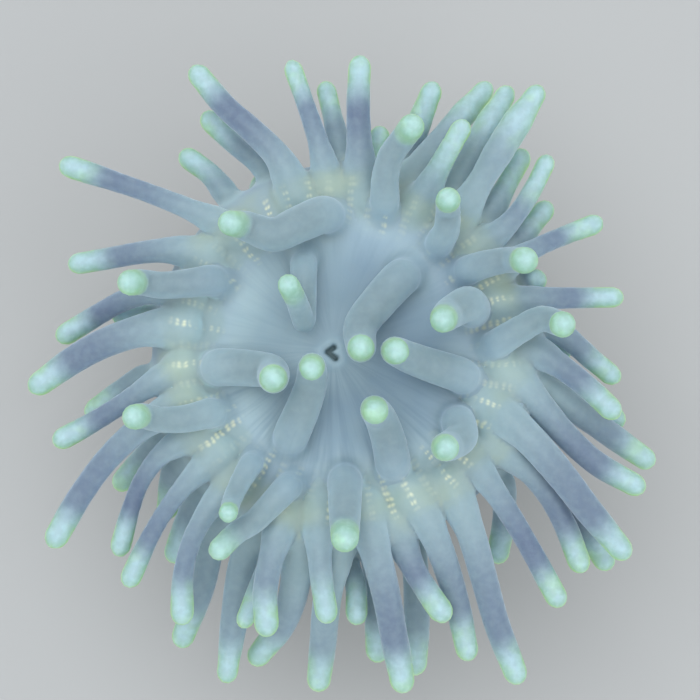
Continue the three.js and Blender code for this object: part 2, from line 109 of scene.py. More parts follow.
class AnemoneColours(bpy.types.PropertyGroup):
    """Colours of the living tissue, as linear light."""

    tip: FloatVectorProperty(
        name="Tip", description="Pale end of a tentacle",
        default=(0.380, 0.520, 0.575), subtype="COLOR")
    bulb: FloatVectorProperty(
        name="Raised tip", description="Pale end of a tentacle that stands on the disc",
        default=(0.375, 0.545, 0.535), subtype="COLOR")
    # Painted shade and glow: the darker, greener colour painted on the tips where their surface
    # faces sideways.
    tip_side_shade_and_glow: FloatVectorProperty(
        name="Tip, sides", description="Greener sides of the tips",
        default=(0.275, 0.500, 0.355), subtype="COLOR")
    # Yellow-green of real patches on the tips, and of the painted glowing rim round their ends.
    lime_and_rim_glow: FloatVectorProperty(
        name="Lime", description="Yellow-green round the very ends and of patches on them",
        default=(0.42, 0.70, 0.26), subtype="COLOR")
    shaft: FloatVectorProperty(
        name="Shaft", description="Middle of the darkest tentacles",
        default=(0.138, 0.182, 0.266), subtype="COLOR")
    # Painted light: how much paler the shafts are painted where their surface faces sideways.
    painted_side_light_gain: FloatProperty(
        name="Side gain", description="How much paler the tentacles are at their thin sides",
        default=0.35, subtype="FACTOR")
    shaft_pale: FloatVectorProperty(
        name="Shaft, paler", description="Middle of the palest tentacles",
        default=(0.255, 0.352, 0.396), subtype="COLOR")
    disc: FloatVectorProperty(
        name="Disc", description="Open face of the oral disc",
        default=(0.315, 0.430, 0.530), subtype="COLOR")
    disc_pale: FloatVectorProperty(
        name="Disc, paler", description="Paler clouds of the disc and the tentacles on it",
        default=(0.452, 0.592, 0.610), subtype="COLOR")
    root: FloatVectorProperty(
        name="Roots", description="Roots of the tentacles",
        default=(0.318, 0.434, 0.468), subtype="COLOR")
    # Disc, darker: the colour of the radial lines, and also of the painted shade on the inner disc
    # among the raised tentacles.
    disc_dark: FloatVectorProperty(
        name="Disc, darker", description="Radial lines round the mouth",
        default=(0.210, 0.310, 0.395), subtype="COLOR")
    margin: FloatVectorProperty(
        name="Margin", description="Olive tint between the roots at the edge of the disc",
        default=(0.400, 0.480, 0.340), subtype="COLOR")
    bead: FloatVectorProperty(
        name="Beads", description="Rows of dots between the roots",
        default=(0.76, 0.78, 0.58), subtype="COLOR")
    mouth: FloatVectorProperty(
        name="Mouth", description="Inside of the mouth slit",
        default=(0.105, 0.165, 0.185), subtype="COLOR")
    column: FloatVectorProperty(
        name="Column", description="Skin of the column",
        default=(0.470, 0.445, 0.360), subtype="COLOR")
    sucker: FloatVectorProperty(
        name="Suckers", description="The column's rows of suckers",
        default=(0.660, 0.610, 0.480), subtype="COLOR")
    foot: FloatVectorProperty(
        name="Foot", description="Skin of the foot",
        default=(0.420, 0.340, 0.250), subtype="COLOR")


class StageSettings(bpy.types.PropertyGroup):
    """Camera, floor and lights."""

    elevation: FloatProperty(
        name="Elevation", description="Angle of the camera above the horizon",
        default=math.radians(84), subtype="ANGLE")
    distance: FloatProperty(
        name="Distance", description="Distance from the camera to the disc",
        default=400 * MM, unit="LENGTH")
    view_width: FloatProperty(
        name="View width", description="Width of the view at the disc",
        default=112 * MM, unit="LENGTH")
    target: FloatVectorProperty(
        name="Target", description="Point in the middle of the view",
        default=(0.8 * MM, 0, 50 * MM), subtype="TRANSLATION")
    floor_colour: FloatVectorProperty(
        name="Floor colour", description="Colour of the plain floor",
        default=(0.43, 0.44, 0.45), subtype="COLOR")
    floor_size: FloatProperty(
        name="Floor size", description="Side of the square floor",
        default=4.0, unit="LENGTH")


def smooth_step(low, high, value):
    """0 below low, 1 above high, and a smooth S between."""
    part = np.clip((value - low) / (high - low), 0, 1)
    return part * part * (3 - 2 * part)


def band(value, rise, fall):
    """0, then 1 after a smooth rise over one zone, then 0 again after a fall over another."""
    return smooth_step(*rise, value) * (1 - smooth_step(*fall, value))


def waves(angle, rows):
    """The sum of waves round the axis, each a height, a count for each turn and a start."""
    return sum(height * np.cos(count * angle + start) for height, count, start in rows)


def facing(heading, side, spread):
    """1 where a heading points to a side, falling off as a bell curve, all in degrees."""
    turn = (heading - side + 180) % 360 - 180
    return np.exp(-((turn / spread) ** 2))


def lengths(vectors):
    """The length of each row of an array of vectors."""
    return np.sqrt((vectors * vectors).sum(axis=-1))


def curve_through(points, samples):
    """A smooth line through points: cubic pieces whose slopes are the chords of the neighbours,
    sampled at even steps of the chord length. Works on any number of columns."""
    points = np.asarray(points, float)
    steps = np.maximum(lengths(np.diff(points[:, :3], axis=0)), 1e-9)
    at = np.concatenate([[0], np.cumsum(steps)])
    slopes = np.gradient(points, at, axis=0)
    where = np.linspace(0, at[-1], samples)
    piece = np.clip(np.searchsorted(at, where, side="right") - 1, 0, len(steps) - 1)
    width = steps[piece][:, None]
    t = (where - at[piece])[:, None] / width
    return (
        (2 * t**3 - 3 * t**2 + 1) * points[piece]
        + (t**3 - 2 * t**2 + t) * width * slopes[piece]
        + (3 * t**2 - 2 * t**3) * points[piece + 1]
        + (t**3 - t**2) * width * slopes[piece + 1]
    )


def grid_faces(rows, columns):
    """Quads of a grid that closes on itself across its columns, as an array of corners."""
    row, column = np.meshgrid(np.arange(rows - 1), np.arange(columns), indexing="ij")
    here = row * columns + column
    beside = row * columns + (column + 1) % columns
    return np.stack([here, beside, beside + columns, here + columns], axis=-1).reshape(-1, 4)


def end_faces(ring_start, columns, middle, flip):
    """Triangles from one ring of a grid to a middle vertex."""
    column = np.arange(columns)
    beside = (column + 1) % columns
    first, second = (beside, column) if flip else (column, beside)
    return np.stack([ring_start + first, ring_start + second, np.full(columns, middle)], axis=-1)


def closed_rings(rings, ends):
    """The vertices and faces of joined rings of points, closed by a middle vertex at each end."""
    rows, columns = rings.shape[:2]
    middle = rows * columns
    faces = [
        grid_faces(rows, columns),
        end_faces(0, columns, middle, flip=True),
        end_faces(middle - columns, columns, middle + 1, flip=False),
    ]
    return np.vstack([rings.reshape(-1, 3), ends]), faces


def make_mesh(name, vertices, faces):
    """A mesh from an array of vertices and a list of face arrays."""
    mesh = bpy.data.meshes.new(name)
    mesh.from_pydata(vertices, [], [face for array in faces for face in array.tolist()])
    return mesh


def placed(name, data):
    """A new object, linked to the scene."""
    piece = bpy.data.objects.new(name, data)
    bpy.context.scene.collection.objects.link(piece)
    return piece


def read(items, name, width=3, kind=float):
    """One property of all of a mesh's vertices, edges, corners or faces, as rows of an array."""
    values = np.empty(width * len(items), kind)
    items.foreach_get(name, values)
    return values.reshape(-1, width)


WELD = 0.002 * MM
ROUNDNESS = 0.06
TIP_RISE = (0.3, 0.55)


def merged_node(name):
    """A solid's points with doubles merged, and its triangles, as arrays."""
    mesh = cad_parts[name].data
    points = read(mesh.vertices, "co")
    corners = read(mesh.loops, "vertex_index", 1, int)[:, 0]
    grid = np.round(points / WELD).astype(np.int64)
    _, first, same = np.unique(grid, axis=0, return_index=True, return_inverse=True)
    return points[first], same.reshape(-1)[corners].reshape(-1, 3)


def tentacle_lines(points, triangles):
    """Finds each tentacle in a solid and follows it from its tip: a tip is a vertex with one
    neighbour for each side of the tube, raised from their middle, and every next ring of
    neighbours is a station. Returns the pole, and the middles and radii from root to tip."""
    linked = np.zeros((len(points), len(points)), bool)
    for first, second in ((0, 1), (1, 2), (2, 0)):
        linked[triangles[:, first], triangles[:, second]] = True
    linked |= linked.T
    lines = []
    for pole in np.flatnonzero(linked.sum(axis=1) == TUBE_SIDES):
        ring = linked[pole].copy()
        seen = ring.copy()
        seen[pole] = True
        middles, radii = [], []
        while ring.sum() == TUBE_SIDES:
            middle = points[ring].mean(axis=0)
            spokes = lengths(points[ring] - middle)
            if spokes.std() > ROUNDNESS * spokes.mean():
                break
            middles.append(middle)
            radii.append(spokes.mean())
            ring = linked[ring].any(axis=0) & ~seen
            seen |= ring
        if len(middles) < 2:
            continue
        rise = np.linalg.norm(points[pole] - middles[0]) / radii[0]
        if TIP_RISE[0] < rise < TIP_RISE[1]:
            lines.append((points[pole], np.array(middles[1:][::-1]), np.array(radii[1:][::-1])))
    return lines


LINE_SAMPLES = 36
FINE_SAMPLES = 8 * LINE_SAMPLES
BLOCK = 4096
ROOT_DEPTH = 3 * MM
UNDER_ROOT = 0.88
FLARE_ZONE = (2 * MM, 11 * MM)
TIP_ZONE = (2.3 * MM, 7.5 * MM)
TIP_TAPER = 0.07
SPINDLE_SIDE = (56, 13)
SPINDLE_LENGTH = (19.5 * MM, 23 * MM)
SPINDLE_END = (12 * MM, 18 * MM)
SPINDLE_TAPER = 0.1
SPINDLE_BELLY = 0.22


def girth_along(pole, from_pole):
    """How thick a tentacle is along its line, as a factor: a little less at the tip, and on the
    long tentacles of one side a slimmer tip and a fuller middle, as on a spindle."""
    heading = math.degrees(math.atan2(pole[1], pole[0]))
    spindle = facing(heading, *SPINDLE_SIDE) * smooth_step(*SPINDLE_LENGTH, from_pole[0])
    taper = (TIP_TAPER + SPINDLE_TAPER * spindle) * (1 - smooth_step(*TIP_ZONE, from_pole))
    return 1 - taper + SPINDLE_BELLY * spindle * band(from_pole, TIP_ZONE, SPINDLE_END)


class Tentacles:
    """All tentacles' fine centre lines as stacked arrays: points, unit headings, radii, how fast
    the radii change, distances from the pole and from the line's start, and each one's number.
    The lines end in the middle of the tip, where a dome of a given length begins. For each
    tentacle: its circle, dome, length, and the side its tip points to, in degrees."""

    def __init__(self, shape):
        self.root_flare = shape.root_flare
        self.circles, self.domes, parts = [], [], []
        for name in sorted(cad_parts):
            if name.startswith("tentacle"):
                for pole, middles, radii in tentacle_lines(*merged_node(name)):
                    out = middles[0] - middles[1]
                    inner = middles[0] + ROOT_DEPTH * out / np.linalg.norm(out)
                    parts.append(self.add(name.split("_")[1], pole, middles, radii, inner))
        for pole, middles, radii in tentacle_lines(*merged_node("oral_disc")):
            inner = middles[0] * UNDER_ROOT * shape.disc_radius / math.hypot(*middles[0][:2])
            inner[2] = shape.rim_height
            parts.append(self.add("under", pole, middles, radii, inner))
        self.points, self.headings, self.radii, self.growth, self.from_pole = (
            np.concatenate(each) for each in zip(*parts)
        )
        self.count = len(self.circles)
        self.owner = np.repeat(np.arange(self.count), LINE_SAMPLES)
        self.circles = np.array(self.circles)
        self.domes = np.array(self.domes)
        tips = self.points[LINE_SAMPLES - 1::LINE_SAMPLES]
        self.tip_sides = np.degrees(np.arctan2(tips[:, 1], tips[:, 0]))
        self.lengths = self.from_pole[::LINE_SAMPLES]
        self.from_start = self.lengths[self.owner] - self.from_pole

    def add(self, circle, pole, middles, radii, inner):
        """One tentacle's line: a smooth curve through its stations up to the middle of its tip."""
        stations = np.vstack([inner, middles, pole])
        girths = np.concatenate([radii[:1], radii, radii[-1:]])
        fine = curve_through(np.column_stack([stations, girths]), FINE_SAMPLES)
        dome = np.linalg.norm(pole - middles[-1])
        steps = lengths(np.diff(fine[:, :3], axis=0))
        from_pole = np.concatenate([np.cumsum(steps[::-1])[::-1], [0]])
        flare = 1 - smooth_step(*FLARE_ZONE, from_pole[0] - from_pole)
        if circle != "disc":
            fine[:, 3] *= (1 + self.root_flare * flare) * girth_along(pole, from_pole)
        kept = np.linspace(from_pole[0], dome, LINE_SAMPLES)
        columns = np.column_stack([fine, np.gradient(fine[:, :3], axis=0)])
        at = np.stack([np.interp(-kept, -from_pole, column) for column in columns.T], axis=1)
        headings = at[:, 4:7] / lengths(at[:, 4:7])[:, None]
        self.circles.append(circle)
        self.domes.append(dome)
        return at[:, :3], headings, at[:, 3], -np.gradient(at[:, 3], kept), kept

    def nearest(self, places):
        """For each place: the sample of the line whose surface is nearest, and the gap to it."""
        best = np.empty(len(places), int)
        gap = np.empty(len(places))
        lines = self.points.astype(np.float32)
        radii = self.radii.astype(np.float32)
        squares = (lines * lines).sum(axis=1)
        for start in range(0, len(places), BLOCK):
            rows = slice(start, start + BLOCK)
            block = places[rows].astype(np.float32)
            apart = (block * block).sum(axis=1)[:, None] - 2 * block @ lines.T + squares
            apart = np.sqrt(np.maximum(apart, 0)) - radii
            best[rows] = apart.argmin(axis=1)
            gap[rows] = apart.min(axis=1)
        return best, gap

    def spots(self, places):
        """For each place: the nearest tentacle's number, how far from its pole and from its start
        the place stands along it, and the gap to its surface."""
        best, gap = self.nearest(places)
        along = ((places - self.points[best]) * self.headings[best]).sum(axis=1)
        return self.owner[best], self.from_pole[best] - along, self.from_start[best], gap


SKIN_TUBE_SIDES = 18
DOME_RINGS = 5
NEARLY_UPRIGHT = 0.1


def tube_surface(line, headings, girth, dome):
    """A closed tube: a circle carried along a line without twisting, then a dome of rings whose
    radii and rises are a quarter ellipse. The cross axis of each ring is the one before with its
    part along the new heading taken away."""
    turn = np.linspace(0, math.pi / 2, DOME_RINGS + 1)[1:]
    rise = dome * np.sin(turn)[:, None] * headings[-1]
    line = np.vstack([line, line[-1] + rise])
    headings = np.vstack([headings, np.repeat(headings[-1:], DOME_RINGS, axis=0)])
    girth = np.concatenate([girth, girth[-1] * np.cos(turn)])
    across = np.cross(headings[0], [0.0, 0.0, 1.0])
    if np.linalg.norm(across) < NEARLY_UPRIGHT:
        across = np.cross(headings[0], [1.0, 0.0, 0.0])
    frames = []
    for heading in headings:
        across = across - heading * (across @ heading)
        across = across / np.linalg.norm(across)
        frames.append(across)
    across = np.array(frames)
    up = np.cross(headings, across)
    angle = np.linspace(0, math.tau, SKIN_TUBE_SIDES, endpoint=False)
    spokes = (
        across[:, None] * np.cos(angle)[None, :, None] + up[:, None] * np.sin(angle)[None, :, None]
    )
    rings = line[:-1, None] + girth[:-1, None, None] * spokes[:-1]
    return closed_rings(rings, [line[0], line[-1]])


SLIT_BEND = (-0.75 * MM, -0.35 * MM)
SLIT_ARMS = ((math.radians(36), 1.15 * MM), (math.radians(-40), 1.6 * MM))


def distance_to_slit(plan):
    """The distance of points in plan from the bent mouth slit: two arms from one bend."""
    bend = MOUTH_MIDDLE[:2] + np.array(SLIT_BEND)
    found = []
    for angle, length in SLIT_ARMS:
        run = length * np.array([math.cos(angle), math.sin(angle)])
        part = np.clip(((plan - bend) @ run) / (run @ run), 0, 1)
        found.append(lengths(plan - bend - part[..., None] * run))
    return np.minimum(*found)


def body_meridian(shape):
    """Reach and height along the body's outline, from the middle of the foot's underside up the
    column and over the margin to the middle of the disc."""
    waist, low = shape.waist_radius, shape.waist_height
    disc, rim = shape.disc_radius, shape.rim_height
    outline = [
        (0, 0), (0.6 * FOOT_RADIUS, 0), (FOOT_RADIUS - 1.2 * MM, 0), (FOOT_RADIUS, 0.9 * MM),
        (FOOT_RADIUS - 0.8 * MM, 2.6 * MM), (FOOT_RADIUS - 2.4 * MM, FOOT_TOP + 0.4 * MM),
        (waist + 1.6 * MM, 0.6 * low), (waist, low), (waist + 1.2 * MM, 1.36 * low),
        (waist + 5 * MM, 1.75 * low), (NECK_RADIUS - 0.8 * MM, NECK_HEIGHT - 1 * MM),
        (0.965 * disc, rim - 3 * MM), (disc, rim), (0.97 * disc, DISC_TOP - 4.2 * MM),
        (0.86 * disc, DISC_TOP - 1.8 * MM), (0.65 * disc, DISC_TOP - 0.5 * MM),
        (0.35 * disc, DISC_TOP + 0.2 * MM), (0.1 * disc, DISC_TOP), (0, DISC_TOP),
    ]
    flat = np.array([(reach, 0, height) for reach, height in outline])
    line = curve_through(flat, 300)
    return np.maximum(line[:, 0], 0), np.maximum(line[:, 2], 0)


BODY_SIDES = 220
LEAST_REACH = 0.05 * MM
FOOT_ZONE = (2 * MM, 9 * MM)
SCALLOPS = ((0.5 * MM, 8, 0), (0.25 * MM, 21, 1.3))
FOLDS = ((0.3 * MM, 24, 0), (0.4 * MM, 3, 0.7))
FOLD_ZONE = ((5 * MM, 12 * MM), (30 * MM, 40 * MM))


def body_surface(shape):
    """The foot, column and disc as one turned surface, drawn in by the inset: the meridian moved
    in along its normals and turned about the axis, with scallops round the foot and shallow folds
    down the column."""
    reach, height = body_meridian(shape)
    slope = np.gradient(np.column_stack([reach, height]), axis=0)
    slope /= lengths(slope)[:, None]
    reach = reach - shape.skin_inset * slope[:, 1]
    height = height + shape.skin_inset * slope[:, 0]
    reach, height = np.maximum(reach[1:-1], LEAST_REACH), height[1:-1]
    angle = np.linspace(0, math.tau, BODY_SIDES, endpoint=False)
    a, r = np.meshgrid(angle, reach)
    z = np.broadcast_to(height[:, None], r.shape)
    edge = (1 - smooth_step(*FOOT_ZONE, z)) * smooth_step(0.5, 1, r / FOOT_RADIUS)
    r = r + edge * waves(a, SCALLOPS)
    r = r + band(z, *FOLD_ZONE) * waves(a, FOLDS)
    rings = np.stack([r * np.cos(a), r * np.sin(a), z], axis=-1)
    return closed_rings(rings, [(0, 0, height[0]), (0, 0, height[-1])])


def joined_surfaces(surfaces):
    """Several closed surfaces as one list of vertices and faces."""
    vertices, faces, start = [], [], 0
    for points, arrays in surfaces:
        vertices.append(points)
        faces.extend(array + start for array in arrays)
        start += len(points)
    return np.vstack(vertices), faces


def fused(mesh, cell):
    """The outer surface of overlapping closed surfaces as one even mesh of small cells."""
    rough = placed("rough_skin", mesh)
    remesh = rough.modifiers.new("fuse", "REMESH")
    remesh.mode = "VOXEL"
    remesh.voxel_size = cell
    graph = bpy.context.evaluated_depsgraph_get()
    skin = bpy.data.meshes.new_from_object(rough.evaluated_get(graph))
    bpy.data.objects.remove(rough)
    delete_islands(skin)
    return skin


def neighbours(mesh):
    """Each edge once from each end: a row of vertices and a row of their neighbours."""
    edges = read(mesh.edges, "vertices", 2, int)
    return np.concatenate([edges, edges[:, ::-1]]).T


def delete_islands(mesh):
    """Deletes all but the largest connected piece of a mesh. Every vertex takes the lowest number
    among itself and its neighbours, until nothing changes and each piece has one number."""
    here, beside = neighbours(mesh)
    label = np.arange(len(mesh.vertices))
    changed = True
    while changed:
        lowest = label.copy()
        np.minimum.at(lowest, here, label[beside])
        lowest = lowest[lowest]
        changed = (lowest != label).any()
        label = lowest
    stray = label != np.bincount(label).argmax()
    form = bmesh.new()
    form.from_mesh(mesh)
    corners = list(form.verts)
    bmesh.ops.delete(form, geom=[corners[i] for i in np.flatnonzero(stray)], context="VERTS")
    form.to_mesh(mesh)
    form.free()


def smoothed(points, here, beside, weight, rounds):
    """Points moved half the way to the mean of their neighbours, by a weight each, in rounds."""
    count = np.bincount(here)
    for _ in range(rounds):
        mean = np.stack([np.bincount(here, column[beside]) / count for column in points.T], axis=1)
        points = points + 0.5 * weight[:, None] * (mean - points)
    return points


def set_attribute(mesh, name, values):
    """Stores one number for each vertex under a name that materials read."""
    attribute = mesh.attributes.new(name, "FLOAT", "POINT")
    attribute.data.foreach_set("value", np.asarray(values, np.float32))


def put_vertices(mesh, points):
    """Moves a mesh's vertices to the rows of an array."""
    mesh.vertices.foreach_set("co", points.astype(np.float32).ravel())
    mesh.update()


ROUNDED_FROM = (4.0 * MM, 7.0 * MM)
ROUNDED_GAP = (0.45 * MM, 0.9 * MM)


def rounded(points, tentacles):
    """Points of the skin moved onto the true tubes: past its root, each point goes straight out
    from its tentacle's line to the radius there, and round the tip onto the dome."""
    best, gap = tentacles.nearest(points)
    middle, heading = tentacles.points[best], tentacles.headings[best]
    away = points - middle
    along = (away * heading).sum(axis=1)
    spoke = away - along[:, None] * heading
    width = np.maximum(lengths(spoke), 1e-9)
    last = best % LINE_SAMPLES == LINE_SAMPLES - 1
    radius = tentacles.radii[best] + along * tentacles.growth[best]
    on_tube = middle + along[:, None] * heading + spoke * (radius / width)[:, None]
    dome = tentacles.domes[tentacles.owner[best]]
    tip_radius = tentacles.radii[best]
    size = np.sqrt((along / dome) ** 2 + (width / tip_radius) ** 2)
    on_dome = middle + away / np.maximum(size, 1e-9)[:, None]
    target = np.where((last & (along > 0))[:, None], on_dome, on_tube)
    weight = smooth_step(*ROUNDED_FROM, tentacles.from_start[best])
    weight = weight * (1 - smooth_step(*ROUNDED_GAP, np.abs(gap)))
    return points + weight[:, None] * (target - points)


EVEN_ROUNDS = 2
WEB_ROUNDS = 14
WEB_END = (4 * MM, 7.5 * MM)
WEB_GAP = (2 * MM, 4.5 * MM)
WEB_HEIGHT = (28 * MM, 34 * MM)


def skin_mesh(shape, tentacles):
    """The outer surface of the body and all tentacles: each drawn in by the inset, fused, evened
    out and webbed at the roots, let out again by the inset, and rounded onto the tubes."""
    inset = shape.skin_inset
    surfaces = [body_surface(shape)]
    for number in range(tentacles.count):
        own = tentacles.owner == number
        surfaces.append(tube_surface(
            tentacles.points[own], tentacles.headings[own], tentacles.radii[own] - inset,
            tentacles.domes[number] - inset))
    mesh = fused(make_mesh("rough_skin", *joined_surfaces(surfaces)), shape.skin_cell)
    mesh.name = "skin"
    here, beside = neighbours(mesh)
    points = read(mesh.vertices, "co")
    points = smoothed(points, here, beside, np.ones(len(points)), EVEN_ROUNDS)
    _, _, start, gap = tentacles.spots(points)
    root = (1 - smooth_step(*WEB_END, start)) * (1 - smooth_step(*WEB_GAP, gap))
    root = root * smooth_step(*WEB_HEIGHT, points[:, 2])
    points = smoothed(points, here, beside, root, WEB_ROUNDS)
    put_vertices(mesh, points)
    points = points + inset * read(mesh.vertex_normals, "vector")
    points = rounded(points, tentacles)
    points[:, 2] = np.maximum(points[:, 2], 0)
    put_vertices(mesh, points)
    return mesh


TIP_BORDER = 4.7 * MM
CUT_REACH = 2.5 * MM
CUT_GAP = 0.3 * MM
MOUTH_REACH = 5.5 * MM


def cut_finer(mesh, tentacles):
    """Cuts the skin square across each tentacle at the border of its tip, so that the two
    finishes meet on a clean ring, and cuts the faces round the mouth finer."""
    best, gap = tentacles.nearest(read(mesh.vertices, "co"))
    owner = tentacles.owner[best]
    near = (np.abs(tentacles.from_pole[best] - TIP_BORDER) < CUT_REACH) & (gap < CUT_GAP)
    form = bmesh.new()
    form.from_mesh(mesh)
    corners = list(form.verts)
    for number in range(tentacles.count):
        own = np.flatnonzero(tentacles.owner == number)
        at = own[np.abs(tentacles.from_pole[own] - TIP_BORDER).argmin()]
        chosen = {corners[i] for i in np.flatnonzero(near & (owner == number))}
        faces = {f for v in chosen for f in v.link_faces}
        edges = {e for f in faces for e in f.edges}
        verts = {v for f in faces for v in f.verts}
        bmesh.ops.bisect_plane(
            form, geom=[*verts, *edges, *faces], dist=1e-6, plane_co=tentacles.points[at],
            plane_no=tentacles.headings[at])
    mouth = Vector((*MOUTH_MIDDLE[:2], DISC_TOP))
    edges = [e for e in form.edges if all((v.co - mouth).length < MOUTH_REACH for v in e.verts)]
    bmesh.ops.subdivide_edges(form, edges=edges, cuts=2, use_grid_fill=True)
    form.to_mesh(mesh)
    form.free()


DISC_FACE = (DISC_TOP - 3 * MM, DISC_TOP - 1.5 * MM)
DISC_FREE = (0.3 * MM, 1.2 * MM)
COLUMN_FREE = (0.5 * MM, 1.5 * MM)
LIPS_AT = 1.25 * MM
LIPS_WIDTH = 0.75 * MM
MOUND_WIDTH = 3.2 * MM
SLIT_WIDTH = 0.5 * MM


def shaped_details(mesh, shape, tentacles):
    """Presses the mouth slit into the disc between raised lips, and raises the rows of suckers on
    the column. Both are sums of bell curves of the distance from the slit or from a sucker."""
    points = read(mesh.vertices, "co")
    _, gap = tentacles.nearest(points)
    slit = distance_to_slit(points[:, :2])
    lips = shape.lip_height * np.exp(-(((slit - LIPS_AT) / LIPS_WIDTH) ** 2))
    mound = 0.5 * shape.lip_height * np.exp(-((slit / MOUND_WIDTH) ** 2))
    well = shape.slit_depth * np.exp(-((slit / SLIT_WIDTH) ** 4))
    open_disc = smooth_step(*DISC_FACE, points[:, 2]) * smooth_step(*DISC_FREE, gap)
    points[:, 2] += open_disc * (lips + mound - well)
    swell = shape.sucker_height * sucker_shape(points) * smooth_step(*COLUMN_FREE, gap)
    put_vertices(mesh, points + swell[:, None] * read(mesh.vertex_normals, "vector"))


SUCKER_ROWS = 24
SUCKER_STEP = 3.1 * MM
SUCKER_SIZES = (0.01 * MM, 0.86 * MM)
SUCKER_GROWTH = (10 * MM, 34 * MM)
SUCKER_ZONE = ((16 * MM, 24 * MM), (39 * MM, 42 * MM))


def sucker_shape(points):
    """1 on the middle of each sucker and 0 between: rows at even angles down the column, every
    second row half a step lower, largest near the margin and gone below the waist."""
    height = points[:, 2]
    row = np.arctan2(points[:, 1], points[:, 0]) * SUCKER_ROWS / math.tau
    nearest_row = np.round(row)
    across = (row - nearest_row) * math.tau / SUCKER_ROWS * lengths(points[:, :2])
    level = height / SUCKER_STEP + 0.5 * (nearest_row % 2)
    along = (level - np.round(level)) * SUCKER_STEP
    least, most = SUCKER_SIZES
    size = least + (most - least) * smooth_step(*SUCKER_GROWTH, height)
    return np.exp(-((across**2 + along**2) / size**2)) * band(height, *SUCKER_ZONE)


class SkinNodes:
    """Adds shader nodes to a material and links them, so that a finish reads as one recipe."""

    def __init__(self, name):
        self.material = bpy.data.materials.new(name)
        self.material.use_nodes = True
        self.tree = self.material.node_tree
        self.shader = self.tree.nodes["Principled BSDF"]

    def node(self, kind, settings=None, **inputs):
        """A node with its settings and its inputs, each a value or another node's output."""
        node = self.tree.nodes.new(kind)
        for name, value in (settings or {}).items():
            setattr(node, name, value)
        for name, value in inputs.items():
            key = int(name[1:]) if name[0] == "_" else name
            self.feed(node.inputs[key], value)
        return node

    def feed(self, socket, value):
        """Links an output to a socket, or sets the socket's value."""
        if isinstance(value, bpy.types.NodeSocket):
            self.tree.links.new(value, socket)
        else:
            socket.default_value = value

    def math(self, operation, first, second=0.0):
        """One arithmetic node."""
        node = self.node("ShaderNodeMath", {"operation": operation}, _0=first, _1=second)
        return node.outputs[0]

    def times(self, first, second):
        """The product of two numbers."""
        return self.math("MULTIPLY", first, second)

    def vector(self, operation, *inputs):
        """One node of vector arithmetic: a vector, or a number for a length."""
        sockets = {f"_{number}": value for number, value in enumerate(inputs)}
        node = self.node("ShaderNodeVectorMath", {"operation": operation}, **sockets)
        return node.outputs["Value" if operation == "LENGTH" else "Vector"]

    def attribute(self, name):
        """A number stored on the skin."""
        return self.node("ShaderNodeAttribute", {"attribute_name": name}).outputs["Fac"]

    def place(self):
        """The point's place on the piece."""
        return self.node("ShaderNodeTexCoord").outputs["Object"]

    def noise(self, scale, detail=3.0, place=None):
        """Cloudy noise of a scale in cells for each metre."""
        node = self.node("ShaderNodeTexNoise", Vector=place or self.place(), Scale=scale,
                         Detail=detail)
        return node.outputs["Fac"]

    def step(self, value, low, high, start=0.0, end=1.0):
        """A smooth change from start to end as a value goes from low to high."""
        node = self.node("ShaderNodeMapRange", {"interpolation_type": "SMOOTHSTEP"})
        for socket, number in zip(("Value", "From Min", "From Max", "To Min", "To Max"),
                                  (value, low, high, start, end)):
            self.feed(node.inputs[socket], number)
        return node.outputs[0]

    def blend(self, amount, first, second):
        """A colour part of the way from the first to the second."""
        node = self.node("ShaderNodeMix", {"data_type": "RGBA"})
        self.feed(node.inputs["Factor"], amount)
        self.feed(node.inputs[6], colour(first))
        self.feed(node.inputs[7], colour(second))
        return node.outputs[2]

    def scaled(self, tint, factor):
        """A colour made lighter or darker by a factor."""
        node = self.node("ShaderNodeVectorMath", {"operation": "SCALE"}, _0=tint, Scale=factor)
        return node.outputs[0]


def colour(value):
    """A colour with full alpha, or a socket as it is."""
    if isinstance(value, bpy.types.NodeSocket):
        return value
    return (*value[:3], 1.0)


WRINKLE_DEPTH = 0.2 * MM


def fine_wrinkles(nodes):
    """The normal of the fine uneven surface of the skin."""
    height = nodes.math("ADD", nodes.noise(420.0, 2.0), nodes.times(nodes.noise(1900.0), 0.35))
    bump = nodes.node("ShaderNodeBump", Height=height, Distance=WRINKLE_DEPTH, Strength=0.3)
    return bump.outputs["Normal"]


def radial_streaks(nodes):
    """0 to 1 in fine lines that run out from the mouth: noise over the unit direction from the
    mouth, so that it is the same all along each line, with a little change outwards."""
    place = nodes.vector("SUBTRACT", nodes.place(), (*MOUTH_MIDDLE[:2], 0.0))
    flat = nodes.vector("MULTIPLY", place, (1.0, 1.0, 0.0))
    reach = nodes.vector("LENGTH", flat)
    lift = nodes.node("ShaderNodeCombineXYZ", _2=nodes.times(reach, 6.0)).outputs[0]
    way = nodes.vector("ADD", nodes.vector("NORMALIZE", flat), lift)
    broad = nodes.noise(7.0, 2.0, way)
    fine = nodes.noise(30.0, 1.0, way)
    return nodes.step(nodes.math("ADD", broad, nodes.times(fine, 0.5)), 0.6, 1.0)


BEAD_ROWS = 48
BEAD_STEP = 1.05 * MM
BEAD_SHIFT = 1.6 * MM
BEAD_PAIR = 0.24 * MM
BEAD_SIZES = (0.38 * MM, 0.64 * MM)


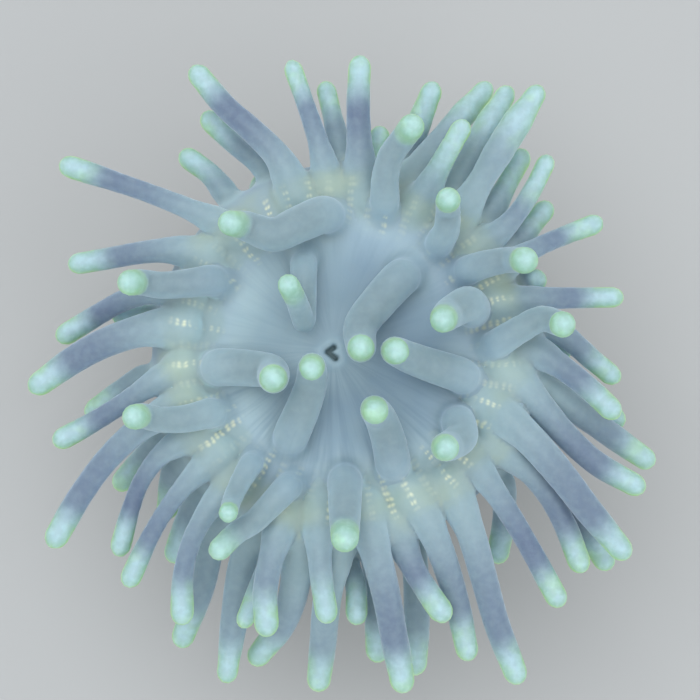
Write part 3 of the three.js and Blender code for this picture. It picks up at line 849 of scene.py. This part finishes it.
def bead_rows(nodes):
    """Soft beads in pairs of rows that run out from the middle at even angles, at even steps in
    each row. Chance shifts and fades whole pairs, and cloudy noise bends the rows and fades
    single beads."""
    clouds = nodes.node("ShaderNodeTexNoise", Vector=nodes.place(), Scale=260.0).outputs["Color"]
    place = nodes.vector("MULTIPLY_ADD", clouds, (BEAD_SHIFT,) * 3, nodes.place())
    parts = nodes.node("ShaderNodeSeparateXYZ", Vector=place).outputs
    reach = nodes.vector("LENGTH", nodes.vector("MULTIPLY", place, (1.0, 1.0, 0.0)))
    row = nodes.times(nodes.math("ARCTAN2", parts["Y"], parts["X"]), BEAD_ROWS / math.tau)
    turn = nodes.math("SUBTRACT", nodes.math("FRACT", row), 0.5)
    across = nodes.times(turn, nodes.times(reach, math.tau / BEAD_ROWS))
    across = nodes.math("SUBTRACT", nodes.math("ABSOLUTE", across), BEAD_PAIR)
    chance = nodes.node("ShaderNodeTexWhiteNoise", {"noise_dimensions": "1D"},
                        W=nodes.math("FLOOR", row)).outputs
    step = nodes.math("ADD", nodes.math("DIVIDE", reach, BEAD_STEP), chance["Value"])
    along = nodes.times(nodes.math("SUBTRACT", nodes.math("FRACT", step), 0.5), BEAD_STEP)
    squares = nodes.math("ADD", nodes.times(across, across), nodes.times(along, along))
    size = nodes.step(nodes.noise(500.0, 1.0), 0.35, 0.65, *BEAD_SIZES)
    dot = nodes.step(nodes.math("SQRT", squares), size, 0.0)
    green = nodes.node("ShaderNodeSeparateXYZ", Vector=chance["Color"]).outputs["Y"]
    strong = nodes.step(nodes.noise(330.0, 1.0), 0.28, 0.55)
    return nodes.times(dot, nodes.times(nodes.step(green, 0.10, 0.75, 0.15), strong))


# Painted shade: how much darker the shafts of the raised tentacles are painted.
RAISED_PAINTED_SHADE = 0.13
RAISED_SHORTER = 2.2
PALE_END = (9.0, 3.5)


def crown_colour(nodes, colours):
    """The disc's and the tentacles' colour: clouds on the disc, radial lines round the mouth, an
    olive margin with rows of beads between the roots, a lavender shaft, and a pale tip. The
    distance from the pole is in millimetres."""
    limb = nodes.attribute("limb")
    pole = nodes.attribute("from_pole")
    raised = nodes.attribute("raised")
    clouds = nodes.step(nodes.noise(70.0, 2.0), 0.36, 0.7)
    pale = nodes.math("MAXIMUM", nodes.attribute("disc_pale"), nodes.times(clouds, 0.55))
    disc = nodes.blend(pale, colours.disc, colours.disc_pale)
    # Painted shade: the inner disc is darkened towards the darker colour, where the raised
    # tentacles shade it.
    disc = nodes.blend(nodes.attribute("disc_painted_shade"), disc, colours.disc_dark)
    streaks = nodes.times(radial_streaks(nodes), nodes.attribute("ray"))
    disc = nodes.blend(streaks, disc, colours.disc_dark)
    disc = nodes.blend(nodes.attribute("mouth"), disc, colours.mouth)
    shaft = nodes.blend(nodes.attribute("paleness"), colours.shaft, colours.shaft_pale)
    shaft = nodes.blend(nodes.step(nodes.attribute("root_part"), 0.35, 1.0), shaft, colours.root)
    mottle = nodes.step(nodes.noise(800.0), 0.3, 0.75)
    shaft = nodes.blend(nodes.times(mottle, 0.12), shaft, colours.disc_pale)
    upright = nodes.attribute("upright")
    # Painted light: the shaft is painted paler as its surface turns sideways, which evens out the
    # shading across it.
    painted_side_light = nodes.step(upright, 0.95, 0.3, 1.0, 1.0 + colours.painted_side_light_gain)
    # Painted shade: the raised tentacles' shafts are painted darker.
    shade = nodes.math("SUBTRACT", painted_side_light, nodes.times(raised, RAISED_PAINTED_SHADE))
    flesh = nodes.blend(limb, disc, nodes.scaled(shaft, shade))
    level = nodes.math("MAXIMUM", upright, 0.0)
    side = nodes.math("SUBTRACT", 1.0, nodes.times(level, level))
    haze = nodes.step(nodes.noise(120.0, 2.0), 0.3, 0.75, 0.05, 0.5)
    haze = nodes.times(haze, nodes.attribute("haze"))
    flesh = nodes.blend(haze, flesh, colours.margin)
    beads = nodes.times(bead_rows(nodes), nodes.attribute("bead_zone"))
    flesh = nodes.blend(nodes.times(beads, 0.8), flesh, colours.bead)
    patches = nodes.step(nodes.noise(230.0, 2.0), 0.50, 0.72)
    tip = nodes.blend(raised, colours.tip, colours.bulb)
    # Painted shade and edge glow: the tips' sides, where the surface faces sideways, are painted
    # darker and greener, most near the pole.
    green = nodes.times(side, nodes.step(mottle, 0.0, 1.0, 1.0, 0.6))
    green = nodes.times(green, nodes.step(pole, 8.0, 3.5, 0.55))
    tip = nodes.blend(green, tip, colours.tip_side_shade_and_glow)
    tip = nodes.blend(nodes.times(patches, 0.25), tip, colours.lime_and_rim_glow)
    tip = nodes.scaled(tip, nodes.step(mottle, 0.0, 1.0, 0.95, 1.07))
    # Painted glow: a yellow-green rim where the tips' surface turns sideways. It is strong on the
    # margin tips, faint on the raised ones, and only near the pole.
    edge = nodes.node("ShaderNodeMix", {"data_type": "FLOAT"}, _0=raised, _2=0.7, _3=0.12)
    rim = nodes.times(nodes.step(upright, 0.65, 0.08), edge.outputs[0])
    rim = nodes.times(rim, nodes.step(pole, 5.5, 2.0, 0.25))
    rim = nodes.times(rim, nodes.step(mottle, 0.0, 1.0, 1.0, 0.7))
    tip = nodes.blend(rim, tip, colours.lime_and_rim_glow)
    ends_at = nodes.math("ADD", pole, nodes.times(raised, RAISED_SHORTER))
    end = nodes.times(nodes.step(ends_at, *PALE_END), limb)
    return nodes.blend(end, flesh, tip)


FOOT_TINT = (12 * MM, 2 * MM)
NECK_TINT = (30 * MM, 44 * MM)


def column_colour(nodes, colours):
    """The column's and the foot's colour: pale, with clouds, fine rings and paler suckers."""
    height = nodes.node("ShaderNodeSeparateXYZ", Vector=nodes.place()).outputs["Z"]
    clouds = nodes.step(nodes.noise(110.0, 4.0), 0.35, 0.7)
    skin = nodes.blend(nodes.times(clouds, 0.5), colours.column, colours.foot)
    squeezed = nodes.node("ShaderNodeMapping", Vector=nodes.place(), Scale=(1.0, 1.0, 9.0))
    rings = nodes.step(nodes.noise(130.0, 2.0, squeezed.outputs[0]), 0.45, 0.75)
    skin = nodes.blend(nodes.times(rings, 0.3), skin, colours.foot)
    skin = nodes.blend(nodes.step(height, *FOOT_TINT), skin, colours.foot)
    skin = nodes.blend(nodes.attribute("sucker"), skin, colours.sucker)
    return nodes.blend(nodes.step(height, *NECK_TINT), skin, colours.disc_pale)


SCATTER = (0.9, 1.1, 1.3)
SCATTER_DEPTH = 3.5 * MM
FINISHES = (
    ("crown_flesh", crown_colour, 0.45, 0.55, (0.75, 0.88, 1.0), 0.35),
    ("tip_flesh", crown_colour, 0.38, 0.35, (0.70, 1.0, 0.50), 0.5),
    ("column_flesh", column_colour, 0.5, 0.2, (0.8, 0.85, 0.8), 0.35),
)


def flesh_material(colours, name, recipe, roughness, sheen, sheen_tint, sheen_roughness):
    """A translucent wet skin: colour and normal from nodes, the rest as plain values."""
    nodes = SkinNodes(name)
    values = {
        "Base Color": recipe(nodes, colours), "Normal": fine_wrinkles(nodes),
        "Roughness": roughness, "IOR": 1.38, "Specular IOR Level": 0.3,
        "Subsurface Weight": 0.8, "Subsurface Radius": SCATTER, "Subsurface Scale": SCATTER_DEPTH,
        "Sheen Weight": sheen, "Sheen Tint": colour(sheen_tint),
        "Sheen Roughness": sheen_roughness,
    }
    for socket, value in values.items():
        nodes.feed(nodes.shader.inputs[socket], value)
    return nodes.material


PALE_SIDES = ((57, 17), (261, 13))
# The lower and under circles are paler, partly by their own tone and partly as painted light
# against the shade of the crown above them.
CIRCLE_PALENESS = {"disc": 1.0, "upper": 0.12, "lower": 0.5, "under": 0.7}
SIDE_PALENESS = 0.8
PALENESS_SPREAD = 0.1
FAR_LONGER = 0.6
STUB_LENGTH = 9 * MM
STUB_END = 0.3


def palenesses(tentacles):
    """How pale each tentacle's shaft is: by its circle, paler where it points to one of the pale
    sides, with a little chance."""
    chance = np.random.default_rng(7).normal(0, PALENESS_SPREAD, tentacles.count)
    sides = [SIDE_PALENESS * facing(tentacles.tip_sides, *side) for side in PALE_SIDES]
    circle = np.array([CIRCLE_PALENESS[name] for name in tentacles.circles])
    return np.clip(np.max([circle, *sides], axis=0) + chance, 0, 1)


def pale_ends(tentacles):
    """How long each tentacle's pale end is, as a factor: longer on the far pale side, and short on
    the shortest stubs."""
    far = facing(tentacles.tip_sides, *PALE_SIDES[0])
    longer = 1 + FAR_LONGER * far * (tentacles.circles != "disc")
    return np.where(tentacles.lengths < STUB_LENGTH, STUB_END, longer)


TUBE_GAP = (0.15 * MM, 1.6 * MM)
TUBE_START = (3.5 * MM, 6 * MM)
GROWN_START = (-1 * MM, 12 * MM)
DISC_HEIGHT = (DISC_TOP - 6 * MM, DISC_TOP - 3 * MM)
RAY_START = (1.8 * MM, 4.5 * MM)
RAY_END = (26 * MM, 17 * MM)
RAY_FRONT = (4 * MM, -12 * MM)
SLIT_EDGE = (0.62 * MM, 0.3 * MM)
# Where the painted shade on the inner disc grows out from the mouth, and where it fades away.
PAINTED_SHADE_START = (5 * MM, 9 * MM)
PAINTED_SHADE_END = (20 * MM, 13 * MM)
PALE_LEFT = (4 * MM, -16 * MM)
PALE_END_REACH = (26 * MM, 12 * MM)
BEAD_ZONE = ((18.5 * MM, 22 * MM), (26 * MM, 29 * MM))
HAZE_ZONE = ((22 * MM, 26 * MM), (30 * MM, 32 * MM))


def region_values(mesh, tentacles):
    """Numbers for the materials, one for each point of the skin."""
    points = read(mesh.vertices, "co")
    x, y, z = points.T
    owner, from_pole, from_start, gap = tentacles.spots(points)
    raised = (tentacles.circles == "disc")[owner]
    tube = 1 - smooth_step(*TUBE_GAP, gap)
    bare = 1 - tube * smooth_step(*TUBE_START, from_start)
    reach = lengths(points[:, :2])
    from_mouth = lengths(points[:, :2] - MOUTH_MIDDLE[:2])
    on_disc = smooth_step(*DISC_HEIGHT, z)
    ray = smooth_step(*RAY_START, from_mouth) * smooth_step(*RAY_END, reach)
    # Painted shade on the inner disc: 0.3 near the mouth and 0.6 further out, fading away between
    # 13 and 20 mm from the axis.
    disc_painted_shade = 0.3 + 0.3 * smooth_step(*PAINTED_SHADE_START, from_mouth)
    inside = smooth_step(*SLIT_EDGE, distance_to_slit(points[:, :2])) * (gap > 1 * MM)
    return {
        "limb": tube * np.where(raised, smooth_step(*GROWN_START, from_start), 1),
        "from_pole": from_pole / MM / pale_ends(tentacles)[owner],
        "root_part": np.where(raised, 0.6, 1) * from_pole / tentacles.lengths[owner],
        "paleness": palenesses(tentacles)[owner],
        "raised": raised,
        "disc_painted_shade": on_disc * disc_painted_shade * smooth_step(*PAINTED_SHADE_END, reach),
        "ray": on_disc * ray * (0.25 + 0.4 * smooth_step(*RAY_FRONT, y)),
        "mouth": on_disc * inside,
        "bead_zone": on_disc * bare * band(reach, *BEAD_ZONE),
        "upright": read(mesh.vertex_normals, "vector")[:, 2],
        "haze": on_disc * bare * band(reach, *HAZE_ZONE),
        "disc_pale": smooth_step(*PALE_LEFT, x) * smooth_step(*PALE_END_REACH, reach),
        "sucker": sucker_shape(points),
    }


class ANEMONE_OT_skin(bpy.types.Operator):
    """Makes the one skin of the foot, column, disc, mouth and tentacles"""

    bl_idname = "anemone.skin"
    bl_label = "Skin"

    def execute(self, context):
        shape = context.scene.anemone_shape
        tentacles = Tentacles(shape)
        mesh = skin_mesh(shape, tentacles)
        cut_finer(mesh, tentacles)
        shaped_details(mesh, shape, tentacles)
        for name, values in region_values(mesh, tentacles).items():
            set_attribute(mesh, name, values)
        assign_finishes(mesh, tentacles, context.scene.anemone_colours)
        skin = placed("skin", mesh)
        mesh.shade_smooth()
        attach(skin, "root")
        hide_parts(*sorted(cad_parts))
        return {"FINISHED"}


TIP_GAP = 0.8 * MM
COLUMN_TOP = 41 * MM
COLUMN_GAP = 1.2 * MM


def assign_finishes(mesh, tentacles, colours):
    """Gives each face its finish: 0 on the crown, 1 on the tips, 2 on the column and the foot."""
    for finish in FINISHES:
        mesh.materials.append(flesh_material(colours, *finish))
    centres = read(mesh.polygons, "center")
    _, from_pole, _, gap = tentacles.spots(centres)
    chosen = np.zeros(len(centres), int)
    chosen[(centres[:, 2] < COLUMN_TOP) & (gap > COLUMN_GAP)] = 2
    chosen[(from_pole < TIP_BORDER) & (gap < TIP_GAP)] = 1
    mesh.polygons.foreach_set("material_index", chosen)


class ANEMONE_OT_stage(bpy.types.Operator):
    """Makes the camera, the floor and the lights"""

    bl_idname = "anemone.stage"
    bl_label = "Stage"

    def execute(self, context):
        stage = context.scene.anemone_stage
        add_camera(context.scene, stage)
        add_floor(stage)
        add_lights(context.scene)
        return {"FINISHED"}


def add_camera(scene, stage):
    """A camera that looks down on the disc."""
    lens = bpy.data.cameras.new("camera")
    lens.lens = lens.sensor_width * stage.distance / stage.view_width
    lens.clip_start = 0.01
    camera = placed("camera", lens)
    away = Vector((0, -math.cos(stage.elevation), math.sin(stage.elevation)))
    camera.location = Vector(stage.target) + stage.distance * away
    camera.rotation_euler = (-away).to_track_quat("-Z", "Y").to_euler()
    scene.camera = camera


def add_floor(stage):
    """A plain pale floor."""
    half = stage.floor_size / 2
    corners = [(-half, -half, 0), (half, -half, 0), (half, half, 0), (-half, half, 0)]
    mesh = make_mesh("floor", corners, [np.array([[0, 1, 2, 3]])])
    nodes = SkinNodes("floor_paint")
    darker = [0.96 * part for part in stage.floor_colour]
    tint = nodes.blend(nodes.noise(6.0), stage.floor_colour, darker)
    nodes.feed(nodes.shader.inputs["Base Color"], tint)
    nodes.shader.inputs["Roughness"].default_value = 0.85
    mesh.materials.append(nodes.material)
    floor = placed("floor", mesh)


SKY = (0.97, 0.99, 1.0, 1.0)
SKY_STRENGTH = 0.78
LIT_POINT = (0, 0, 0.04)
LIGHTS = (
    ("key_light", (-0.15, 0.2, 1.1), 1.0, 7.5),
    ("fill_light", (0.5, -0.6, 0.8), 0.9, 2.5),
)
LIGHT_TINT = (0.98, 1.0, 1.0)


def add_lights(scene):
    """Soft lights round the model, each a square panel that faces the disc, and a pale sky."""
    for name, place, size, power in LIGHTS:
        light = bpy.data.lights.new(name, "AREA")
        light.size = size
        light.energy = power
        light.color = LIGHT_TINT
        lamp = placed(name, light)
        lamp.location = place
        towards = Vector(LIT_POINT) - Vector(place)
        lamp.rotation_euler = towards.to_track_quat("-Z", "Y").to_euler()
    world = bpy.data.worlds.new("sky")
    world.use_nodes = True
    background = world.node_tree.nodes["Background"]
    background.inputs["Color"].default_value = SKY
    background.inputs["Strength"].default_value = SKY_STRENGTH
    scene.world = world
    scene.view_settings.view_transform = "Standard"


class ANEMONE_PT_panel(bpy.types.Panel):
    """Lists the pieces"""

    bl_idname = "ANEMONE_PT_panel"
    bl_label = "Anemone"
    bl_space_type = "VIEW_3D"
    bl_region_type = "UI"
    bl_category = "Anemone"

    def draw(self, context):
        column = self.layout.column(align=True)
        for operator in OPERATORS:
            column.operator(operator.bl_idname)
        scene = context.scene
        for group in (scene.anemone_shape, scene.anemone_colours, scene.anemone_stage):
            box = self.layout.box()
            for name in group.__annotations__:
                box.prop(group, name)


OPERATORS = (ANEMONE_OT_skin, ANEMONE_OT_stage)
CLASSES = (AnemoneShape, AnemoneColours, StageSettings, *OPERATORS, ANEMONE_PT_panel)


def register():
    for cls in CLASSES:
        bpy.utils.register_class(cls)
    bpy.types.Scene.anemone_shape = PointerProperty(type=AnemoneShape)
    bpy.types.Scene.anemone_colours = PointerProperty(type=AnemoneColours)
    bpy.types.Scene.anemone_stage = PointerProperty(type=StageSettings)


def unregister():
    del bpy.types.Scene.anemone_stage
    del bpy.types.Scene.anemone_colours
    del bpy.types.Scene.anemone_shape
    for cls in reversed(CLASSES):
        bpy.utils.unregister_class(cls)


def main():
    register()
    bpy.ops.anemone.skin()
    bpy.ops.anemone.stage()


if __name__ == "__main__":
    main()
